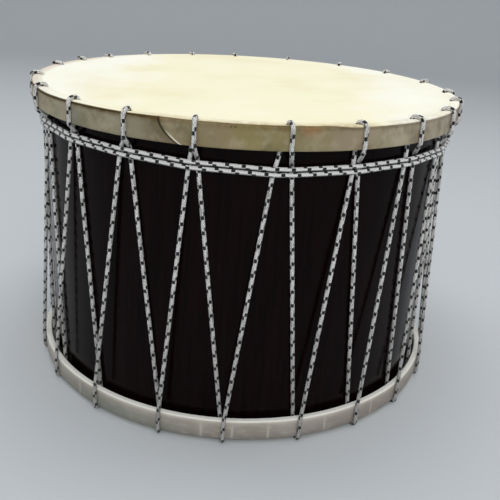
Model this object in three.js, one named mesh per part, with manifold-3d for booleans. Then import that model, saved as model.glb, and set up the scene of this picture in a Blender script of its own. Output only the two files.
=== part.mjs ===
// A davul: a large drum with two heads, pulled tight by one rope laced up and down its shell.
// Millimetres, +Z up. The origin is on the surface that the drum stands on, under the shell's axis.

import * as THREE from 'three';
import { mergeVertices } from 'three/addons/utils/BufferGeometryUtils.js';
import Module from 'manifold-3d';

const wasm = await Module();
wasm.setup();

// Driving dimensions of the drum
const DRUM_DIAMETER = 400; // across the skin-covered hoops
const HEAD_TO_HEAD = 269.6; // between the outer faces of the two heads
const SHELL_WALL = 6; // bent wood
const BEARING_ROUND = 2.4; // outer rounding of the shell's ends, where the heads bear
const BEARING_EASE = 1.2; // inner chamfer of the shell's ends
const REINFORCING_WALL = 6; // rings that stiffen the shell's ends from inside
const REINFORCING_HEIGHT = 24;
const REINFORCING_INSET = 3; // how far a ring sits back from the bearing edge
const REINFORCING_EASE = 1.5; // chamfer along the ring's bare inner edges

// Driving dimensions of a head and its hoop
const SKIN = 0.9; // rawhide
const HOOP_WALL = 3.4; // bent wood, wrapped in the rim of the skin
const HOOP_HEIGHT = 16.2;
const HOOP_EASE = 0.8; // chamfer of the hoop's four edges
const RIM_ROUND = 1.7; // outer rounding of the skin where it folds over the hoop
const TUCK_GAP = 1.2; // between the tucked edge of the skin and the underside of the head
const HOLE_CLEARANCE = 0.5; // all round the rope in a punched hole

// Driving dimensions of the ropes
const ROPE = 3.5; // diameter
const BELT_DROP = 15.4; // from the hoop's lower edge to the middle of the belt
const LACING_HITCH_RISE = 42; // from the bottom hoop up the last strand to the hitch
const FLAT_SHARE = 0.1; // share of the rope's diameter worn flat where the drum stands on it

// Clearances
const FIT = 0.3; // between pieces that touch
const ROPE_REST = 0.5; // between a rope and the face it lies on
const ROPE_SIDE = 0.5; // on each side of the rope between the shell and a hoop
const TURN_GAP = 0.7; // between two passes of rope that lie side by side
const OVERRUN = 2; // by which a cutter runs past what it cuts

// Facets
const RING_SEGMENTS = 60;
const ROPE_SIDES = 6;
const HOLE_SIDES = 10;
const ARC_DIVISIONS = 1;
const STEPS_ALONG_SHELL = 3; // where a strand lies along the curved shell
const HITCH_STEPS_A_TURN = 12;

// Angles in degrees about +Z at which the rope turns over the top hoop. The front of the drum is at 270.
const TOP_TURN_ANGLES = [
  75.8, 95, 110.5, 127, 142.8, 155.5, 169, 189, 208.5, 227.2, 243.7,
  259.6, 279.6, 296.1, 313.2, 330.2, 347, 361, 378.2, 397.4, 416.6,
];
// Angles at which it turns under the bottom hoop, each between a top turn and the next one.
const BOTTOM_TURN_ANGLES = [
  85.4, 102.8, 118.8, 134.9, 149.2, 162.3, 179, 197, 214, 233.2, 252.4,
  268.5, 287.2, 303.7, 320.5, 338.2, 354, 369.6, 387.8, 407, 426.2,
];
const TURN_LEAN = 0.2; // degrees that the rope moves on either side of a turn's middle
// Degrees from each top turn to where the belt holds its two strands: the one that comes up and the one
// that goes down.
const UP_STRAND_SHIFTS = [
  -1.3, -0.9, -1.2, -1.6, -1, -1.1, -1.4, -1.8, -2.2, -4.2, -3.2,
  -1.7, -2.9, -0.2, -0.6, 0.1, -0.9, -1.2, -1, -1.4, -1.1,
];
const DOWN_STRAND_SHIFTS = [
  0.9, 1.2, 1, 0.8, 1.2, 1, 0.9, 0.7, 0.4, -1.6, -0.3,
  0.4, 1.3, 1.2, 3, 2, 1.1, 0.9, 1.2, 1, 1.1,
];
const FULL_TURN = 360;

// Shares of the belt's drop under each top turn: the belt was tied by hand and waves up and down.
const BELT_DROP_SHARES = [
  0.96, 1, 0.95, 0.92, 0.96, 0.98, 0.91, 0.84, 0.79, 0.83, 0.86,
  0.98, 1.08, 1.03, 1.03, 1.1, 1.04, 0.97, 0.98, 1.03, 1,
];

// Hitches: the far end of a rope is wound round the near one. Each place is a share of the rope's pitch
// along the rope, across it and out from the drum, counted from the middle of the hitch.
const HITCH_TURNS = 2;
const HITCH_START_SHARE = 1.2;
const HITCH_ADVANCE_SHARE = 1.06;
const TAIL_SHARES = [[0.6, 0.55, 0.95], [1.7, 0.75, 1.05], [3, 0.45, 1.3]];
const LACING_START_SHARES = [[-0.3, -0.4, 0.95], [0.8, -0.45, 0.75], [2, -0.2, 0.4], [3.2, 0, 0.05]];
const LACING_END_SHARES = [
  [-4.6, 0, 0], [-1, 0, 0], [0.4, 0.45, -0.1], [1.7, 1, -0.1], [4.6, 1.3, 0.1],
];
const BELT_START_SHARES = [
  [-0.4, -0.5, 1], [0.5, -0.85, 0.85], [1.5, -0.85, 0.45], [2.6, -0.6, 0.1], [3.6, -0.5, 0],
];
const BELT_MIDDLE_SHARES = [
  [-3.6, -0.5, 0], [-1, -0.5, 0], [0, -0.2, 0], [1, 0.25, 0], [2, 0.5, 0], [3.6, 0.5, 0],
];
const BELT_END_SHARES = [
  [-3.6, 0.5, 0], [-1, 0.5, 0], [0, 0.95, 0], [1, 1.5, 0], [2, 1.75, 0], [4.4, 1.8, 0.1],
];

// Radii that follow from the sizes above, from the outside in
const drumRadius = DRUM_DIAMETER / 2;
const hoopOuter = drumRadius - SKIN - FIT;
const hoopInner = hoopOuter - HOOP_WALL;
const rimInner = hoopInner - FIT - SKIN;
const shellOuter = rimInner - 2 * ROPE_SIDE - ROPE;
const shellInner = shellOuter - SHELL_WALL;
const behindHoop = (rimInner + shellOuter) / 2; // middle of the rope between shell and hoop
const onHoopFace = drumRadius + ROPE_REST + ROPE / 2; // middle of the rope on the hoop's outer face
const onShell = shellOuter + ROPE_REST + ROPE / 2; // middle of a strand that lies on the shell
const beltRadius = onShell + ROPE + ROPE_REST;

// Heights that follow from the sizes above, from the surface that the drum stands on
const restFlat = ROPE * FLAT_SHARE;
const bottomFace = ROPE + ROPE_REST - restFlat;
const topFace = bottomFace + HEAD_TO_HEAD;
const rimHeight = HOOP_HEIGHT + 2 * FIT + 2 * SKIN;
const middle = (bottomFace + topFace) / 2;
const ropePitch = ROPE + TURN_GAP;
const beltHeight = (index) => topFace - rimHeight - BELT_DROP * BELT_DROP_SHARES[index];

// Turns a closed geometry into a solid: shared vertices, no slivers, faces pointing out.
function solid(geometry) {
  const bare = geometry.clone();
  bare.deleteAttribute('normal');
  bare.deleteAttribute('uv');
  const merged = mergeVertices(bare);
  const index = Array.from(merged.index.array);
  const triangles = [];
  for (let i = 0; i < index.length; i += 3) {
    const [a, b, c] = index.slice(i, i + 3);
    if (a !== b && b !== c && c !== a) triangles.push(a, b, c);
  }
  if (signedVolume(merged.attributes.position, triangles) < 0) triangles.reverse();
  merged.setIndex(triangles);
  return merged;
}

function signedVolume(position, triangles) {
  const [a, b, c] = [new THREE.Vector3(), new THREE.Vector3(), new THREE.Vector3()];
  let sixVolumes = 0;
  for (let i = 0; i < triangles.length; i += 3) {
    a.fromBufferAttribute(position, triangles[i]);
    b.fromBufferAttribute(position, triangles[i + 1]);
    c.fromBufferAttribute(position, triangles[i + 2]);
    sixVolumes += a.dot(b.cross(c));
  }
  return sixVolumes / 6;
}

function toManifold(geometry) {
  const { attributes, index } = solid(geometry);
  return new wasm.Manifold(new wasm.Mesh({
    numProp: 3,
    vertProperties: new Float32Array(attributes.position.array),
    triVerts: new Uint32Array(index.array),
  }));
}

function fromManifold(shape) {
  const mesh = shape.getMesh();
  const geometry = new THREE.BufferGeometry();
  geometry.setAttribute('position', new THREE.Float32BufferAttribute(mesh.vertProperties, mesh.numProp));
  geometry.setIndex(Array.from(mesh.triVerts));
  return geometry;
}

// Revolves a closed profile of (radius, height) points about the drum's axis.
function revolve(points) {
  return solid(new THREE.LatheGeometry(points, RING_SEGMENTS).rotateX(Math.PI / 2));
}

function closedProfile(corners) {
  const points = corners.map(([radius, height]) => new THREE.Vector2(radius, height));
  return [...points, points[0].clone()];
}

// The drum is alike at both ends, so whatever is made for the top end is turned over for the bottom.
function turnedOver(geometry) {
  return geometry.clone().translate(0, 0, -middle).rotateX(Math.PI).translate(0, 0, middle);
}

// The shell: a bent wooden cylinder whose ends are rounded outside and eased inside for the heads.
function shellGeometry() {
  const top = topFace - SKIN - FIT;
  const bottom = bottomFace + SKIN + FIT;
  const profile = new THREE.Path();
  profile.moveTo(shellInner, bottom + BEARING_EASE);
  profile.lineTo(shellInner + BEARING_EASE, bottom);
  profile.absarc(shellOuter - BEARING_ROUND, bottom + BEARING_ROUND, BEARING_ROUND, -Math.PI / 2, 0);
  profile.absarc(shellOuter - BEARING_ROUND, top - BEARING_ROUND, BEARING_ROUND, 0, Math.PI / 2);
  profile.lineTo(shellInner + BEARING_EASE, top);
  profile.lineTo(shellInner, top - BEARING_EASE);
  profile.closePath();
  return revolve(profile.getPoints(ARC_DIVISIONS));
}

// A reinforcing ring, seated inside the top end of the shell.
function reinforcingRingGeometry() {
  const outer = shellInner - FIT;
  const inner = outer - REINFORCING_WALL;
  const top = topFace - SKIN - FIT - REINFORCING_INSET;
  const bottom = top - REINFORCING_HEIGHT;
  return revolve(closedProfile([
    [outer, bottom],
    [outer, top],
    [inner + REINFORCING_EASE, top],
    [inner, top - REINFORCING_EASE],
    [inner, bottom + REINFORCING_EASE],
    [inner + REINFORCING_EASE, bottom],
  ]));
}

// The wooden hoop that the top skin is lapped round.
function hoopGeometry() {
  const top = topFace - SKIN - FIT;
  const bottom = top - HOOP_HEIGHT;
  return revolve(closedProfile([
    [hoopInner, bottom + HOOP_EASE],
    [hoopInner + HOOP_EASE, bottom],
    [hoopOuter - HOOP_EASE, bottom],
    [hoopOuter, bottom + HOOP_EASE],
    [hoopOuter, top - HOOP_EASE],
    [hoopOuter - HOOP_EASE, top],
    [hoopInner + HOOP_EASE, top],
    [hoopInner, top - HOOP_EASE],
  ]));
}

// The top skin: the playing face, folded down outside the hoop, under it and up again behind it,
// with a punched hole just inside the hoop for each turn of the rope.
function skinGeometry() {
  const rimBottom = topFace - rimHeight;
  const underside = topFace - SKIN;
  const tuckEnd = underside - TUCK_GAP;
  const profile = new THREE.Path();
  profile.moveTo(0, underside);
  profile.lineTo(drumRadius - SKIN, underside);
  profile.lineTo(drumRadius - SKIN, rimBottom + SKIN);
  profile.lineTo(rimInner + SKIN, rimBottom + SKIN);
  profile.lineTo(rimInner + SKIN, tuckEnd);
  profile.lineTo(rimInner, tuckEnd);
  profile.absarc(rimInner + RIM_ROUND, rimBottom + RIM_ROUND, RIM_ROUND, Math.PI, Math.PI * 3 / 2);
  profile.absarc(drumRadius - RIM_ROUND, rimBottom + RIM_ROUND, RIM_ROUND, -Math.PI / 2, 0);
  profile.absarc(drumRadius - RIM_ROUND, topFace - RIM_ROUND, RIM_ROUND, 0, Math.PI / 2);
  profile.lineTo(0, topFace);
  return revolve(profile.getPoints(ARC_DIVISIONS));
}

function punch(skin, angles) {
  const depth = SKIN + 2 * OVERRUN;
  const radius = ROPE / 2 + HOLE_CLEARANCE;
  const holes = angles.map((angle) => {
    const hole = new THREE.CylinderGeometry(radius, radius, depth, HOLE_SIDES);
    const place = around(behindHoop, topFace - SKIN / 2, angle);
    return toManifold(hole.rotateX(Math.PI / 2).translate(place.x, place.y, place.z));
  });
  return fromManifold(toManifold(skin).subtract(wasm.Manifold.union(holes)));
}

// A point at a radius and a height, at an angle in degrees about the drum's axis.
function around(radius, height, angle) {
  const turn = THREE.MathUtils.degToRad(angle);
  return new THREE.Vector3(radius * Math.cos(turn), radius * Math.sin(turn), height);
}

// A route that a rope follows. Its steps land on its own points, so each ring of the rope does too.
class Route extends THREE.Curve {
  constructor(points) {
    super();
    this.points = points;
  }

  getPoint(t, target = new THREE.Vector3()) {
    const last = this.points.length - 1;
    const place = t * last;
    const step = Math.min(Math.floor(place), last - 1);
    return target.lerpVectors(this.points[step], this.points[step + 1], place - step);
  }

  getTangent(t, target = new THREE.Vector3()) {
    const last = this.points.length - 1;
    const here = Math.round(t * last);
    const arriving = this.points[here].clone().sub(this.points[Math.max(here - 1, 0)]).normalize();
    const leaving = this.points[Math.min(here + 1, last)].clone().sub(this.points[here]).normalize();
    return target.copy(arriving).add(leaving).normalize();
  }

  getUtoTmapping(u) {
    return u;
  }
}

function ropeGeometry(points) {
  const section = new THREE.Shape();
  for (let side = 0; side < ROPE_SIDES; side += 1) {
    const turn = (2 * Math.PI * side) / ROPE_SIDES;
    const corner = new THREE.Vector2(Math.cos(turn), Math.sin(turn)).multiplyScalar(ROPE / 2);
    if (side === 0) section.moveTo(corner.x, corner.y);
    else section.lineTo(corner.x, corner.y);
  }
  return solid(new THREE.ExtrudeGeometry(section, {
    steps: points.length - 1,
    bevelEnabled: false,
    extrudePath: new Route(points),
  }));
}

// The least clear space that a rope leaves to itself, between passes that aren't next to each other.
function leastGap(points) {
  const along = [0];
  for (let i = 1; i < points.length; i += 1) along.push(along[i - 1] + points[i].distanceTo(points[i - 1]));
  const samples = [];
  for (let i = 1; i < points.length; i += 1) {
    const count = Math.ceil((along[i] - along[i - 1]) / (ROPE / 4));
    for (let k = 0; k < count; k += 1) {
      const share = k / count;
      const at = along[i - 1] + share * (along[i] - along[i - 1]);
      samples.push({ at, point: points[i - 1].clone().lerp(points[i], share) });
    }
  }
  let least = Infinity;
  for (let i = 0; i < samples.length; i += 1) {
    for (let k = i + 1; k < samples.length; k += 1) {
      if (samples[k].at - samples[i].at < 2 * ROPE) continue;
      least = Math.min(least, samples[i].point.distanceToSquared(samples[k].point));
    }
  }
  return Math.sqrt(least) - ROPE;
}

// Bends of the rope's middle: round the bare edge of its hole, and round a rounded corner of a hoop.
const holeBend = ROPE_REST + ROPE / 2;
const cornerBend = RIM_ROUND + holeBend;

// The rope's way from its hole over the top hoop to the hoop's outer face, as (radius, height) points.
function overTopHoop() {
  const way = new THREE.Path();
  way.moveTo(behindHoop, topFace);
  way.absarc(behindHoop + holeBend, topFace, holeBend, Math.PI, Math.PI / 2, true);
  way.absarc(drumRadius - RIM_ROUND, topFace - RIM_ROUND, cornerBend, Math.PI / 2, 0, true);
  return way.getPoints(ARC_DIVISIONS);
}

// From the outer face, round the top hoop's lower edge and in behind the belt's upper turn. The taut rope
// runs straight between the two bends, so its slant follows from where the belt lies.
function inUnderTopHoop(upperTurn) {
  const edge = { x: drumRadius - RIM_ROUND, y: topFace - rimHeight + RIM_ROUND };
  const beltBend = beltRadius - onShell;
  const drop = edge.y - upperTurn;
  const inset = edge.x - beltRadius;
  const slant = Math.asin((cornerBend + beltBend) / Math.hypot(drop, inset)) + Math.atan2(inset, drop);
  const way = new THREE.Path();
  way.absarc(edge.x, edge.y, cornerBend, 0, -slant, true);
  way.absarc(beltRadius, upperTurn, beltBend, Math.PI - slant, Math.PI, false);
  return way.getPoints(ARC_DIVISIONS);
}

// Turns (radius, height) points over, from the top hoop to the bottom one.
function atBottom(points) {
  return points.map((point) => new THREE.Vector2(point.x, 2 * middle - point.y));
}

// Angles at which the belt holds the two strands of a top turn.
const upAtBelt = (index) => TOP_TURN_ANGLES[index] + UP_STRAND_SHIFTS[index];
const downAtBelt = (index) => TOP_TURN_ANGLES[index] + DOWN_STRAND_SHIFTS[index];

// Lays (radius, height) points along a line that turns evenly between two angles at two heights.
function laid(points, lower, upper) {
  return points.map((point) => {
    const share = (point.y - lower.height) / (upper.height - lower.height);
    const angle = THREE.MathUtils.lerp(lower.angle, upper.angle, THREE.MathUtils.clamp(share, 0, 1));
    return around(point.x, point.y, angle);
  });
}

// A strand that comes down the top hoop's face, under the belt and along the shell, behind the bottom hoop.
function downStrand(index) {
  const edge = { angle: TOP_TURN_ANGLES[index] + TURN_LEAN, height: topFace - rimHeight + RIM_ROUND };
  const held = { angle: downAtBelt(index), height: beltHeight(index) + ropePitch / 2 };
  const foot = { angle: BOTTOM_TURN_ANGLES[index] - TURN_LEAN, height: bottomFace };
  const fromShell = new THREE.Vector2(onShell, held.height);
  const alongShell = [];
  for (let step = 1; step < STEPS_ALONG_SHELL; step += 1) {
    const share = step / STEPS_ALONG_SHELL;
    alongShell.push(fromShell.clone().lerp(new THREE.Vector2(behindHoop, foot.height), share));
  }
  return [...laid(inUnderTopHoop(held.height), held, edge), ...laid(alongShell, foot, held)];
}

// A strand that leaves the bottom hoop's face and reaches the shell under the belt, behind the top hoop.
function upStrand(index) {
  const next = (index + 1) % TOP_TURN_ANGLES.length;
  const foot = {
    angle: BOTTOM_TURN_ANGLES[index] + TURN_LEAN,
    height: bottomFace + rimHeight - RIM_ROUND,
  };
  const held = {
    angle: upAtBelt(next) + (next === 0 ? FULL_TURN : 0),
    height: beltHeight(next) - ropePitch / 2 - ROPE / 2,
  };
  return laid([
    new THREE.Vector2(onHoopFace, foot.height),
    new THREE.Vector2(onShell, held.height),
  ], foot, held);
}

// A turn round a hoop leans a little forward on its way from the hole to the outer face.
function turn(points, angle) {
  const hole = points[0].x;
  const face = points[points.length - 1].x;
  return points.map((point) => {
    const share = (point.x - hole) / (face - hole);
    return around(point.x, point.y, angle + THREE.MathUtils.lerp(-TURN_LEAN, TURN_LEAN, share));
  });
}

// Places near a hitch are counted in rope pitches: along the rope, across it and out from the drum.
function atHitch(places, origin, along, outward) {
  const across = new THREE.Vector3().crossVectors(outward, along).normalize();
  const out = new THREE.Vector3().crossVectors(along, across).normalize();
  return places.map(([a, b, c]) => origin.clone()
    .addScaledVector(along, a * ropePitch)
    .addScaledVector(across, b * ropePitch)
    .addScaledVector(out, c * ropePitch));
}

// The end of a rope wound round what lies along the hitch's first axis, out to a short loose tail.
// The core is one rope, or two that lie side by side a pitch apart.
function hitchWinding(coreRopes) {
  const spread = (coreRopes - 1) / 2;
  const places = [];
  for (let step = 0; step < HITCH_TURNS * HITCH_STEPS_A_TURN; step += 1) {
    const turned = (2 * Math.PI * (step + 1 / 2)) / HITCH_STEPS_A_TURN;
    const along = -HITCH_START_SHARE - (HITCH_ADVANCE_SHARE * step) / HITCH_STEPS_A_TURN;
    places.push([along, Math.sin(turned) + Math.sign(Math.sin(turned)) * spread, Math.cos(turned)]);
  }
  const end = places[places.length - 1][0];
  places.push(...TAIL_SHARES.map(([a, b, c]) => [end - a, b, c]));
  return places;
}

// The lacing: one rope that zigzags between the heads, its ends hitched together low on the last strand.
function lacingRoute() {
  const count = TOP_TURN_ANGLES.length;
  const [foot, top] = upStrand(count - 1);
  const along = top.clone().sub(foot).normalize();
  const hitch = foot.clone().addScaledVector(along, LACING_HITCH_RISE);
  const outward = new THREE.Vector3(hitch.x, hitch.y, 0).normalize();
  const points = atHitch([...hitchWinding(1).reverse(), ...LACING_START_SHARES], hitch, along, outward);
  points.push(top);
  for (let index = 0; index < count; index += 1) {
    points.push(...turn(overTopHoop(), TOP_TURN_ANGLES[index]), ...downStrand(index));
    points.push(...turn(atBottom(overTopHoop()), BOTTOM_TURN_ANGLES[index]));
    if (index < count - 1) points.push(...upStrand(index));
  }
  points.push(foot, ...atHitch(LACING_END_SHARES, hitch, along, outward));
  return points;
}

// The belt: two turns of rope that draw every strand in against the shell, hitched together at the back.
function beltRoute() {
  const count = TOP_TURN_ANGLES.length;
  const hitchAngle = (TOP_TURN_ANGLES[0] + TOP_TURN_ANGLES[1]) / 2;
  const hitch = around(beltRadius, beltHeight(0), hitchAngle);
  const outward = around(1, 0, hitchAngle);
  const along = new THREE.Vector3().crossVectors(new THREE.Vector3(0, 0, 1), outward);
  const aroundOnce = (level) => {
    const points = [];
    for (let place = 1; place <= count; place += 1) {
      const index = place % count;
      const height = beltHeight(index) + level * ropePitch;
      points.push(around(beltRadius, height, upAtBelt(index)));
      points.push(around(beltRadius, height, downAtBelt(index)));
    }
    return points;
  };
  return [
    ...atHitch([...hitchWinding(2).reverse(), ...BELT_START_SHARES], hitch, along, outward),
    ...aroundOnce(-1 / 2),
    ...atHitch(BELT_MIDDLE_SHARES, hitch, along, outward),
    ...aroundOnce(1 / 2),
    ...atHitch(BELT_END_SHARES, hitch, along, outward),
  ];
}

// What the drum stands on wears the lowest turns of the lacing flat.
function wornFlat(geometry) {
  const across = DRUM_DIAMETER + 2 * (ROPE + OVERRUN);
  const below = new THREE.BoxGeometry(across, across, ROPE).translate(0, 0, -ROPE / 2);
  return fromManifold(toManifold(geometry).subtract(toManifold(below)));
}

function piece(name, geometry, colour, roughness) {
  const material = new THREE.MeshStandardMaterial({ color: colour, roughness, metalness: 0 });
  const mesh = new THREE.Mesh(geometry, material);
  mesh.name = name;
  return mesh;
}

const lacing = lacingRoute();
const belt = beltRoute();
console.log('least gap of the lacing to itself:', leastGap(lacing).toFixed(2), 'mm');
console.log('least gap of the belt to itself:', leastGap(belt).toFixed(2), 'mm');

const drum = new THREE.Group();
const topHoles = TOP_TURN_ANGLES.map((angle) => angle - TURN_LEAN);
const bottomHoles = BOTTOM_TURN_ANGLES.map((angle) => TURN_LEAN - angle);
drum.add(piece('shell', shellGeometry(), '#170b0b', 0.25));
drum.add(piece('top_reinforcing_ring', reinforcingRingGeometry(), '#a9855a', 0.6));
drum.add(piece('bottom_reinforcing_ring', turnedOver(reinforcingRingGeometry()), '#a9855a', 0.6));
drum.add(piece('top_hoop', hoopGeometry(), '#b08b5e', 0.6));
drum.add(piece('bottom_hoop', turnedOver(hoopGeometry()), '#b08b5e', 0.6));
drum.add(piece('top_skin', punch(skinGeometry(), topHoles), '#f4efcd', 0.55));
drum.add(piece('bottom_skin', turnedOver(punch(skinGeometry(), bottomHoles)), '#d8d5c9', 0.55));
drum.add(piece('lacing_rope', wornFlat(ropeGeometry(lacing)), '#d9d9d6', 0.85));
drum.add(piece('belt_rope', ropeGeometry(belt), '#d9d9d6', 0.85));

export default drum;
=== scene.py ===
# %% [markdown]
# A davul in Blender.
# A davul is a big drum with two rawhide heads on a lacquered wooden shell. Each head is lapped round its own
# hoop, and one long braided rope runs up and down between the hoops and pulls both heads tight. A second rope
# goes twice round the drum and draws the strands in against the shell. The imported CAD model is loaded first,
# as a fixed frame to build on.

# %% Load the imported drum
import math

import bmesh
import bpy
import numpy as np
from mathutils import Matrix, Vector


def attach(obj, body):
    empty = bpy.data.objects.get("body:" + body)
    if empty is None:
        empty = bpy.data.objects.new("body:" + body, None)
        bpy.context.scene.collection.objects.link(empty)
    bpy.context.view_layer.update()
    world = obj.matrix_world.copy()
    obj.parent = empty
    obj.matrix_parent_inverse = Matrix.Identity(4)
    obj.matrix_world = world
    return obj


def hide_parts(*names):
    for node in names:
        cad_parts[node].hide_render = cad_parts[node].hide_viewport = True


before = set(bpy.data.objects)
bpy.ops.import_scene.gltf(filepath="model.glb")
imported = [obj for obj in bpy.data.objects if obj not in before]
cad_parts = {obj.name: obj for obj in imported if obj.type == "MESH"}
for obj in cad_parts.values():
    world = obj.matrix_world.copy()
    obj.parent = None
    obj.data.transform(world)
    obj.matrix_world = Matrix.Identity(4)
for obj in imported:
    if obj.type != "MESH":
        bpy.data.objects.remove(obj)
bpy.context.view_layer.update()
print("CAD nodes:", ", ".join(sorted(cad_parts)))

# %% [markdown]
# A maker works from a list of sizes, so this scene does too. They are the CAD model's, in millimetres, and
# each radius or height below them follows from the others, from the outside of the drum in. The rope lies a
# little closer to wood and skin than in the CAD model, because its braid fills the gap, and the belt's two
# turns lie 0.6 mm further apart, so that a thin gap shows between them.

# %% The drum's sizes in millimetres
DRUM_RADIUS = 200
HEAD_TO_HEAD = 269.6
SHELL_WALL = 6
BEARING_ROUND = 2.4  # at the shell's ends, where the heads bear
SKIN = 0.9
HOOP_WALL = 3.4
HOOP_HEIGHT = 16.2
RIM_ROUND = 1.7  # where the hide bends over the hoop's edges
TUCK_GAP = 1.2  # from the end of the tucked hide to the face above it
FIT = 0.3  # room between hide and wood
ROPE = 3.5
ROPE_REST = 0.15  # room between the rope and what it lies on
ROPE_SIDE = 0.5  # room beside the rope, behind the hoop
BELT_DROP = 15.4  # from the rim down to the middle of the belt
BELT_SPACING = 4.35

hoop_inner = DRUM_RADIUS - SKIN - FIT - HOOP_WALL
rim_inner = hoop_inner - FIT - SKIN
shell_outer = rim_inner - 2 * ROPE_SIDE - ROPE
shell_inner = shell_outer - SHELL_WALL
behind_hoop = (rim_inner + shell_outer) / 2
bottom_face = ROPE + ROPE_REST
top_face = bottom_face + HEAD_TO_HEAD
middle = (bottom_face + top_face) / 2
rim_height = HOOP_HEIGHT + 2 * FIT + 2 * SKIN
print("shell from radius", shell_inner, "to", shell_outer, "and heads at", bottom_face, "and", top_face)

# %% [markdown]
# A shell and a lapped skin are both one section swept round the drum's axis. Blender's Screw modifier could
# sweep it, but hand-made pieces are never truly round, so code does it and a function nudges every point.

# %% Sweep a section round the drum
WELD = 1e-6  # points closer than a thousandth of a millimetre are one point
scene = bpy.context.scene


def in_scene(name, data):
    """A new object in the scene."""
    thing = bpy.data.objects.new(name, data)
    scene.collection.objects.link(thing)
    return thing


def piece_of(name, points, faces):
    """A new piece, from points in metres."""
    mesh = bpy.data.meshes.new(name)
    mesh.from_pydata(points, [], faces)
    return in_scene(name, mesh)


def faces_between(rings, across, last_ring, last_point):
    """The faces between rings of points, closed where the last count is the full one."""
    faces = []
    for i in range(last_ring):
        here, there = i * across, (i + 1) % rings * across
        for j in range(last_point):
            k = (j + 1) % across
            faces.append((here + j, there + j, there + k, here + k))
    return faces


def swept_round(name, section, angles, nudge):
    """Sweeps a closed ring of (radius, height) points in mm through angles in degrees."""
    radius, angle = np.meshgrid([r for r, z in section], angles)
    height = np.tile([z for r, z in section], (len(angles), 1)).astype(float)
    radius, height = nudge(radius, height, angle)
    turn = np.radians(angle)
    points = np.stack([radius * np.cos(turn), radius * np.sin(turn), height], -1).reshape(-1, 3) / 1000
    rings, across = len(angles), len(section)
    return piece_of(name, points.tolist(), faces_between(rings, across, rings, across))


def arc(centre, radius, start, end, steps=6):
    """Points round a corner, from angle to angle in degrees."""
    turns = np.radians(np.linspace(start, end, steps + 1))
    return [(centre[0] + radius * math.cos(t), centre[1] + radius * math.sin(t)) for t in turns]


def smoothed(piece, crease=35):
    """Points the faces outwards and shades them smooth, apart from creases."""
    work = bmesh.new()
    work.from_mesh(piece.data)
    bmesh.ops.remove_doubles(work, verts=work.verts, dist=WELD)
    bmesh.ops.recalc_face_normals(work, faces=work.faces)
    work.to_mesh(piece.data)
    work.free()
    piece.data.polygons.foreach_set("use_smooth", [True] * len(piece.data.polygons))
    piece.data.set_sharp_from_angle(angle=math.radians(crease))
    return piece


def waves(angle, parts):
    """Waves round the drum, each told by its height in mm, its count and its start."""
    turn = np.radians(angle)
    return sum(tall * np.sin(count * turn + start) for tall, count, start in parts)


print("points round a corner:", len(arc((0, 0), 1, 0, 90)))

# %% [markdown]
# The shell is a thin board bent into a cylinder, with rounded ends for the heads to bear on. A bent board
# keeps a little of its flatness, so its radius drifts by a few tenths of a millimetre. Nobody sees that in
# the outline, but it bends the reflections in the lacquer, as on the real shell.

# %% The shell
INNER_CHAMFER = 1.2
BOARD_WAVES = [(0.10, 3, 0.6), (0.07, 7, 2), (0.035, 19, 0)]
WAVE_SHIFT = 0.1  # waves are moved in by this, so that they hardly pass the CAD model's round
wide_angles = np.arange(0, 360, 1.5)


def hand_bent(radius, height, angle):
    """Lets the outside of the shell drift."""
    outside = np.clip((radius - shell_inner) / SHELL_WALL, 0, 1)
    drift = waves(angle, BOARD_WAVES) - WAVE_SHIFT
    return radius + drift * outside * (0.6 + 0.4 * np.sin(height / 75)), height


shell_low, shell_high = bottom_face + SKIN + FIT, top_face - SKIN - FIT
shell_section = [
    (shell_inner, shell_low + INNER_CHAMFER), (shell_inner + INNER_CHAMFER, shell_low),
    *arc((shell_outer - BEARING_ROUND, shell_low + BEARING_ROUND), BEARING_ROUND, -90, 0),
    *[(shell_outer, shell_low + (shell_high - shell_low) * k / 16) for k in range(1, 16)],
    *arc((shell_outer - BEARING_ROUND, shell_high - BEARING_ROUND), BEARING_ROUND, 0, 90),
    (shell_inner + INNER_CHAMFER, shell_high), (shell_inner, shell_high - INNER_CHAMFER),
]
shell = smoothed(swept_round("lacquered_shell", shell_section, wide_angles, hand_bent))
print("shell faces:", len(shell.data.polygons))

# %% [markdown]
# A head is a wet rawhide lapped round its hoop: over the top, down the outside, under, and up behind. It
# dries as hard as horn, so this is one rigid closed form and not a cloth simulation. Between the shell and
# the hoop nothing holds it up, and it dips in a shallow groove. The hoop's edge waves a little, and where the
# hide had too much slack it was folded in a pleat, which sweeps round the rim on its way down.

# %% How a head leaves the plain round form
GROOVE_DEPTH, GROOVE_REACH = 0.5, 1.9
RIM_WAVES = [(0.10, 5, 1.1), (0.06, 13, 0.4), (0.04, 31, 2.2)]
LOWER_EDGE_WAVE = 0.05
PLEAT_TOP, PLEAT_SWEEP = 251.9, 4.5  # its angle at the upper edge, and degrees from there to the lower
PLEAT_CURL = 1.9  # above 1 the pleat starts steep
PLEAT_STEP, PLEAT_RISE, PLEAT_FADE = 0.8, 0.5, (1, 3.4)  # mm proud, and degrees to its crest and back


def ease(low, high, value):
    share = np.clip((value - low) / (high - low), 0, 1)
    return share * share * (3 - 2 * share)


def groove_and_rim(radius, height):
    """The depth of the groove and the share of the rim at each point."""
    groove = np.exp(-(((radius - behind_hoop) / GROOVE_REACH) ** 2))
    groove = groove * ease(rim_height / 2, 0, top_face - height)
    return GROOVE_DEPTH * groove, ease(DRUM_RADIUS - 3, DRUM_RADIUS - 0.5, radius)


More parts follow.
